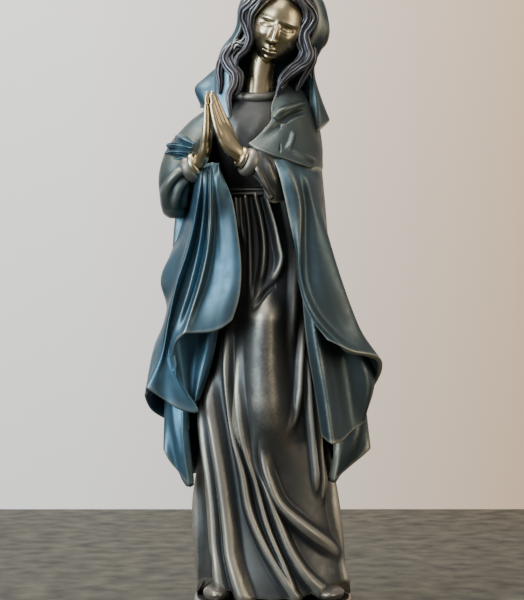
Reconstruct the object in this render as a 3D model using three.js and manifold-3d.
// A table-top statue of the praying Madonna, cast in bronze-filled resin: millimetres, +Z up, facing -Y.
// Each casting, dowel and fixing is one closed mesh. Pieces made first keep their shape, and each later
// piece is cut back from them, so that glued faces stay JOINT_GAP apart.

import * as THREE from 'three';
import { mergeVertices } from 'three/addons/utils/BufferGeometryUtils.js';
import Module from 'manifold-3d';

const wasm = await Module();
wasm.setup();

// ---- driving dimensions ----
const JOINT_GAP = 0.3; // glue line between two castings
const FELT_THICK = 1.5;
const BASE = { wide: 37, deep: 33, bottom: FELT_THICK + JOINT_GAP, top: 10 }; // half widths of the plinth
const BASE_CORNERS = 3; // 2 makes the plinth a true oval, and more makes it squarer
const WAIST = 197; // top of the skirt
const BELT_TALL = 4;
const SHOULDER = 236;
const HEAD = { at: [2, -5, 277], wide: 13.2, deep: 15.2, tall: 18.2, tilt: 17 }; // half sizes and degrees
const HOOD = { at: [4.5, 3, 277], wide: 22.5, deep: 23, tall: 23 };
const CLOTH_THICK = 3.2; // the cloak's front panels
const BACK_THICK = 13; // the cloak's back, cast solid against the dress
const RIGHT_WRIST = [-35.8, -28.2, 211.2];
const RIGHT_PALM = [-32.4, -32.5, 216.5];
const LEFT_WRIST = [-14.2, -33.6, 214.2];
const LEFT_PALM = [-18.6, -35.6, 219];
const FINGERTIPS = 244.8; // their height
const FINEST = 0.1; // detail flatter than this is left out

// ---- turning three.js shapes into solids and back ----
function solidOf(geometry) {
  geometry.deleteAttribute('normal');
  geometry.deleteAttribute('uv');
  const merged = mergeVertices(geometry, 1e-4);
  return new wasm.Manifold(new wasm.Mesh({
    numProp: 3,
    vertProperties: new Float32Array(merged.attributes.position.array),
    triVerts: new Uint32Array(merged.index.array),
  }));
}

function geometryOf(solid) {
  const { vertProperties, triVerts } = solid.getMesh();
  const geometry = new THREE.BufferGeometry();
  geometry.setAttribute('position', new THREE.BufferAttribute(vertProperties, 3));
  geometry.setIndex(new THREE.BufferAttribute(triVerts, 1));
  geometry.computeVertexNormals();
  return geometry;
}

// The same solid with its skin moved outwards by a glue line. Corners move along a mean direction, so the
// step is a little longer than the glue line.
function grown(solid) {
  const step = JOINT_GAP * 1.1;
  const geometry = geometryOf(solid);
  const { position, normal } = geometry.attributes;
  const moved = position.array.map((value, i) => value + normal.array[i] * step);
  geometry.setAttribute('position', new THREE.BufferAttribute(moved, 3));
  return solidOf(geometry);
}

function largestBody(solid) {
  const bodies = solid.decompose();
  return bodies.reduce((best, body) => (body.volume() > best.volume() ? body : best));
}

// ---- shapes ----
function curveThrough(points) {
  return new THREE.CatmullRomCurve3(points.map((p) => new THREE.Vector3(...p)), false, 'centripetal');
}

// A casting with a round section that changes along its height. Each section is
// [z, x, y, halfWide, halfDeep]. folds gives a factor on the radius from the angle and the height from 0 to 1.
function turned(sections, sides = 24, steps = 8, folds = () => 1) {
  const centres = curveThrough(sections.map(([z, x, y]) => [x, y, z]));
  const sizes = curveThrough(sections.map(([z, , , wide, deep]) => [wide, deep, z]));
  const geometry = new THREE.CylinderGeometry(1, 1, 1, sides, steps);
  const { position } = geometry.attributes;
  for (let i = 0; i < position.count; i += 1) {
    const height = position.getY(i) + 0.5;
    const centre = centres.getPoint(height);
    const size = sizes.getPoint(height);
    const factor = folds(Math.atan2(-position.getZ(i), position.getX(i)), height);
    const x = centre.x + position.getX(i) * size.x * factor;
    const y = centre.y - position.getZ(i) * size.y * factor;
    position.setXYZ(i, x, y, centre.z);
  }
  return solidOf(geometry);
}

// A casting that follows a path, such as an arm, a lock of hair or a hand. Each station is
// [x, y, z, halfWide, halfDeep], and the wide direction stays as close to X as the path lets it.
function limb(stations, sides = 12, steps = 8) {
  const path = curveThrough(stations.map(([x, y, z]) => [x, y, z]));
  const sizes = curveThrough(stations.map(([, , , wide, deep], i) => [wide, deep, i]));
  const geometry = new THREE.CylinderGeometry(1, 1, 1, sides, steps);
  const { position } = geometry.attributes;
  for (let i = 0; i < position.count; i += 1) {
    const along = position.getY(i) + 0.5;
    const centre = path.getPoint(along);
    const size = sizes.getPoint(along);
    const forward = path.getTangent(along);
    const deep = new THREE.Vector3().crossVectors(forward, new THREE.Vector3(1, 0, 0)).normalize();
    const wide = new THREE.Vector3().crossVectors(deep, forward);
    centre.addScaledVector(wide, position.getX(i) * size.x);
    centre.addScaledVector(deep, -position.getZ(i) * size.y);
    position.setXYZ(i, centre.x, centre.y, centre.z);
  }
  return solidOf(geometry);
}

// A hanging cloth. Each row, from the lowest to the highest, is a list of points along the outer skin,
// clockwise as seen from above, and the casting is thick inwards.
function cloth(rows, thick = CLOTH_THICK, columns = 11, steps = 9) {
  const across = rows.map(curveThrough);
  const skin = (u, v) => curveThrough(across.map((row) => row.getPoint(u).toArray())).getPoint(v);
  const geometry = new THREE.BoxGeometry(1, 1, 1, columns, steps, 1);
  const { position } = geometry.attributes;
  const reach = 0.01;
  for (let i = 0; i < position.count; i += 1) {
    const u = position.getX(i) + 0.5;
    const v = position.getY(i) + 0.5;
    const inward = 0.5 - position.getZ(i);
    const point = skin(u, v);
    const along = skin(Math.min(u + reach, 1), v).sub(skin(Math.max(u - reach, 0), v));
    const up = skin(u, Math.min(v + reach, 1)).sub(skin(u, Math.max(v - reach, 0)));
    point.addScaledVector(along.cross(up).normalize(), -inward * thick);
    position.setXYZ(i, point.x, point.y, point.z);
  }
  return solidOf(geometry);
}

function ball([x, y, z], wide, deep, tall, tilt = 0, sides = 20) {
  const geometry = new THREE.SphereGeometry(1, sides, sides / 2);
  geometry.rotateX(Math.PI / 2);
  geometry.scale(wide, deep, tall);
  geometry.rotateY(THREE.MathUtils.degToRad(tilt));
  geometry.translate(x, y, z);
  return solidOf(geometry);
}

// A round bar between two points, such as a dowel.
function bar(from, to, radius, sides = 16) {
  const start = new THREE.Vector3(...from);
  const run = new THREE.Vector3(...to).sub(start);
  const geometry = new THREE.CylinderGeometry(radius, radius, run.length(), sides);
  const turn = new THREE.Quaternion().setFromUnitVectors(new THREE.Vector3(0, 1, 0), run.clone().normalize());
  geometry.applyQuaternion(turn);
  geometry.translate(...start.addScaledVector(run, 0.5).toArray());
  return solidOf(geometry);
}

function ring([x, y, z], wide, deep, thick, lean = 0) {
  const geometry = new THREE.TorusGeometry(1, thick / wide, 6, 20);
  geometry.scale(wide, deep, wide);
  geometry.rotateX(THREE.MathUtils.degToRad(lean));
  geometry.translate(x, y, z);
  return solidOf(geometry);
}

// A point part of the way from one point to another.
function between(from, to, share) {
  return from.map((value, i) => value + (to[i] - value) * share);
}

// ---- materials ----
function paint(color, roughness, metalness) {
  return new THREE.MeshStandardMaterial({ color, roughness, metalness });
}
const CLOAK = () => paint(0x3e5560, 0.42, 0.75);
const DRESS = () => paint(0x5c5648, 0.4, 0.8);
const SKIN = () => paint(0x9a8a5e, 0.28, 0.95);
const HAIR = () => paint(0x34312c, 0.38, 0.85);
const PLINTH = () => paint(0x2b2721, 0.45, 0.7);
const STEEL = () => paint(0x9aa0a6, 0.35, 1);
const FELT = () => paint(0x2a3b2c, 0.95, 0);

// ---- assembly ----
const group = new THREE.Group();
const made = [];

// Cuts a new piece back from every piece made before it, and adds it.
function add(name, solid, material) {
  let cut = solid;
  for (const other of made) {
    const near = grown(other);
    cut = cut.subtract(near);
  }
  made.push(solid);
  const mesh = new THREE.Mesh(geometryOf(largestBody(cut).simplify(FINEST)), material);
  mesh.name = name;
  group.add(mesh);
}

// Fixings and dowels.
const SCREW = { radius: 2, head: 4, headTall: 2.2, tip: 32 };
const COUNTERBORE = BASE.bottom + 4;
function screwAndWasher() {
  const headTop = COUNTERBORE - 1 - JOINT_GAP;
  const head = bar([0, 0, headTop - SCREW.headTall], [0, 0, headTop], SCREW.head);
  const shank = bar([0, 0, headTop - 1], [0, 0, SCREW.tip], SCREW.radius);
  add('base_screw', head.add(shank), STEEL());
  add('base_washer', bar([0, 0, headTop + JOINT_GAP], [0, 0, COUNTERBORE], 5.2, 20), STEEL());
}
screwAndWasher();
add('waist_pin', bar([-6, 0, WAIST - 14], [-6, 0, WAIST + 16], 2.5), STEEL());
add('neck_pin', bar([-6.5, -1, SHOULDER - 4], [-2.5, -2, SHOULDER + 20], 1.5), STEEL());
const RIGHT_ELBOW = [-44.5, -4, 200];
const LEFT_ELBOW = [17, -6, 206];
function wristPin(elbow, wrist, palm, intoArm) {
  return bar(between(wrist, elbow, intoArm), between(wrist, palm, 0.6), 1);
}
add('right_wrist_pin', wristPin(RIGHT_ELBOW, RIGHT_WRIST, RIGHT_PALM, 0.2), STEEL());
add('left_wrist_pin', wristPin(LEFT_ELBOW, LEFT_WRIST, LEFT_PALM, 0.15), STEEL());

// The felt pad and the plinth with its counterbore, both ovals with fuller corners.
function oval(from, to, wide, deep, lip, corners = 2) {
  const fuller = (angle) => {
    const x = Math.abs(Math.cos(angle)) ** corners;
    const y = Math.abs(Math.sin(angle)) ** corners;
    return (x + y) ** (-1 / corners);
  };
  return turned([[from, 0, 0, wide, deep], [to, 0, 0, wide - lip, deep - lip]], 36, 1, fuller);
}
add('felt_pad', oval(0, FELT_THICK, BASE.wide - 1, BASE.deep - 1, 0, BASE_CORNERS), FELT());
const plinth = oval(BASE.bottom, BASE.top, BASE.wide, BASE.deep, 1, BASE_CORNERS);
add('base', plinth.subtract(bar([0, 0, 0], [0, 0, COUNTERBORE + JOINT_GAP], 6, 20)), PLINTH());

// Shoe tips under the hem.
add('right_foot', ball([-26, -19.5, 13.2], 6.5, 11, 4.6), PLINTH());
add('left_foot', ball([25.5, -18.5, 13], 7.5, 12, 4.4), PLINTH());

// The dress: skirt, belt and bodice. Its folds fade out towards the waist.
const hemFolds = (angle, height) => 1 + 0.035 * (1 - height) * Math.cos(angle * 9);
const SKIRT = [
  [BASE.top + JOINT_GAP, 0, 0, 36, 31.5],
  [24, -1, 0, 35.5, 30.5],
  [50, -3.5, -1, 32.5, 28],
  [80, -4, -2, 30, 27.5],
  [115, -5, -1.5, 27.5, 25],
  [150, -5, -1, 23.5, 21.5],
  [178, -6, 0, 18, 17],
  [WAIST, -6, 0, 15, 14],
];
add('skirt', turned(SKIRT, 36, 10, hemFolds), DRESS());
const beltBottom = WAIST + JOINT_GAP;
const beltTop = beltBottom + BELT_TALL;
add('belt', oval(0, BELT_TALL, 16.4, 15.4, 0.8).translate([-6, 0, beltBottom]), DRESS());

// Head and neck in one casting, in a rolled neckline.
function headAndNeck() {
  const skull = ball(HEAD.at, HEAD.wide, HEAD.deep, HEAD.tall, HEAD.tilt);
  const neck = limb([[-6.5, -1, SHOULDER + 7, 7.6, 7.6], [-4.5, -1.5, 254, 6.8, 7], [0, -2, 268, 7, 8]]);
  return skull.add(neck);
}
add('head', headAndNeck(), SKIN());
add('neckline_band', ring([-8, -1.5, SHOULDER + 9], 9.8, 9.6, 1.5, 8), DRESS());
const BODICE = [
  [beltTop + JOINT_GAP, -6, 0, 15, 14],
  [215, -7, -1, 18.5, 16.5],
  [226, -7, -1, 23, 17.5],
  [SHOULDER, -7.5, 0, 24, 15.5],
  [SHOULDER + 5, -8, 0, 17, 12.5],
  [SHOULDER + 8.5, -8, -1, 10.5, 10.5],
];
add('bodice', turned(BODICE, 24, 8), DRESS());

// Praying hands, their rolled cuffs and the sleeves.
function hand(wrist, palm, knuckles, fingers, tipX) {
  return limb([[...wrist, 3.4, 3.5], palm, knuckles, fingers, [tipX, -37.1, FINGERTIPS, 0.9, 2.2]], 12, 8);
}
add('right_hand', hand(
  RIGHT_WRIST,
  [...RIGHT_PALM, 3.3, 5.5],
  [-31, -35, 226, 2.8, 6.6],
  [-30.9, -36.2, 235, 2, 5],
  -31,
), SKIN());
add('left_hand', hand(
  LEFT_WRIST,
  [...LEFT_PALM, 4.2, 4.8],
  [-22.8, -36.5, 227, 4.2, 4.8],
  [-26, -37, 236, 2.4, 4.2],
  -28.6,
), SKIN());
function sleeve(path, sizes) {
  return limb(path.map((point, i) => [...point, sizes[i], sizes[i]]), 14, 8);
}
const CUFF_LONG = 5;
function cuff(wrist, elbow) {
  const back = new THREE.Vector3(...elbow).sub(new THREE.Vector3(...wrist)).setLength(CUFF_LONG);
  return sleeve([wrist, [wrist[0] + back.x, wrist[1] + back.y, wrist[2] + back.z]], [5.2, 5.6]);
}
add('right_cuff', cuff(RIGHT_WRIST, RIGHT_ELBOW), DRESS());
add('left_cuff', cuff(LEFT_WRIST, LEFT_ELBOW), DRESS());
const shoulderRight = [-25, 3, SHOULDER - 4];
const armRight = [shoulderRight, [-36, 1, 219], RIGHT_ELBOW, [-42.5, -17, 202], [-38, -26.5, 210]];
const armLeft = [[10, 3, SHOULDER - 5], [16, -1, 220], LEFT_ELBOW, [3, -25, 206], [-10.5, -32.5, 213]];
add('right_sleeve', sleeve(armRight, [8, 10.5, 10, 9.5, 8.2]), CLOAK());
add('left_sleeve', sleeve(armLeft, [7, 8, 9.5, 10.5, 8.5]), DRESS());

// Hair: the parted crown and a wavy lock down each side.
add('hair_right', limb([
  [-4, -10, 292, 3, 4], [-11, -11, 284, 4.5, 5], [-14.5, -9, 271, 5.5, 6],
  [-20, -8, 258, 5.5, 5.5], [-22, -12, 246, 4.6, 4.6], [-22.5, -14, 236, 2, 2],
], 10, 10), HAIR());
add('hair_left', limb([
  [9, -10, 293, 3, 4], [16, -10, 284, 4.5, 5], [18.5, -8, 271, 5, 6],
  [13, -9, 261, 4.6, 5], [8, -11, 252, 4, 4], [2, -13.5, 245, 2, 2],
], 10, 10), HAIR());
add('hair_crown', ball([4, -1, 279.5], 15, 16, 17, HEAD.tilt), HAIR());

// The hood, open at the front, and the falls of cloth below it.
const FACE_OPENING = [[3.5, -40, 275], [3.5, 0, 277]];
function hood() {
  const shell = ball(HOOD.at, HOOD.wide, HOOD.deep, HOOD.tall, 0, 24);
  const opening = limb(FACE_OPENING.map((point) => [...point, 17, 20]), 20, 1);
  return shell.subtract(opening).subtract(ball([4.5, 0, 277], 18, 18, 19.5));
}
add('hood', hood(), CLOAK());
add('veil_left', limb([
  [21, 3, 268, 4, 8], [20, 3, 252, 4.5, 8], [23, 3, 240, 4.5, 6], [26, 2, 234, 1, 2],
]), CLOAK());
add('veil_right', limb([
  [-18, 3, 270, 5, 8], [-26, 3, 258, 5, 8], [-31, 3, 249, 5.5, 7], [-34, 3, 243, 2, 3],
]), CLOAK());
add('veil_back', turned([
  [SHOULDER, -6, 10, 27, 14],
  [248, -4, 10, 24, 15],
  [262, 1, 9, 21, 15],
], 24, 4), CLOAK());

// The cloak: one panel in front of each side and one across the back.
add('mantle_right', cloth([
  [[-49, 15, 99], [-59.8, -4, 103], [-58, -22, 108], [-50, -33, 119], [-38, -36, 130], [-21, -33, 138]],
  [[-47, 15, 140], [-54, -6, 140], [-50, -25, 140], [-41, -34, 142], [-30, -35, 144], [-16, -32, 147]],
  [[-45, 14, 170], [-48, -8, 170], [-44, -26, 170], [-37, -33, 170], [-27, -34, 170], [-15.2, -30, 170]],
  [[-46, 12, 192], [-51, -6, 191], [-45, -24, 190], [-37, -32, 191], [-29, -33, 193], [-19, -29, 196]],
  [[-43, 11, 216], [-50, -6, 216], [-47, -23, 214], [-40, -33, 212], [-33, -37, 210], [-25, -35, 211]],
]), CLOAK());
add('mantle_left', cloth([
  [[13, -33, 132], [27, -34, 127], [40, -30, 121], [50.5, -18, 113], [46, 2, 98], [34, 20, 92]],
  [[14, -31, 148], [24, -32, 145], [32, -27, 141], [36, -14, 138], [36, 4, 136], [26, 22, 134]],
  [[10.5, -30, 172], [18, -31, 171], [24, -25, 170], [27.5, -12, 169], [28, 4, 169], [21, 20, 169]],
  [[6, -30, 204], [14, -29, 204], [21, -21, 204], [24.5, -9, 204], [24.5, 5, 204], [18, 18, 204]],
  [[1, -24, 223], [8, -24, 224], [17, -17, 225], [22, -7, 225], [22, 5, 225], [17, 17, 225]],
  [[-1, -21, 231], [5, -19, 236], [11, -13, 239], [15, -5, 240], [15, 5, 240], [12, 13, 239]],
]), CLOAK());
add('mantle_back', cloth([
  [[44, -2, 79], [28, 22, 66], [-2, 31, 63], [-36, 24, 64], [-50.5, -2, 79]],
  [[43, 3, 115], [27, 28, 113], [-4, 36, 112], [-35, 29, 113], [-51, 2, 115]],
  [[31, 6, 155], [20, 27, 155], [-6, 34, 155], [-33, 27, 155], [-47, 6, 155]],
  [[25, 8, 200], [16, 24, 200], [-8, 30, 200], [-33, 24, 200], [-44, 8, 200]],
  [[14, 10, 240], [9, 17, 240], [-7, 22, 241], [-22, 18, 240], [-30, 9, 236]],
], BACK_THICK, 14, 9), CLOAK());

export default group;
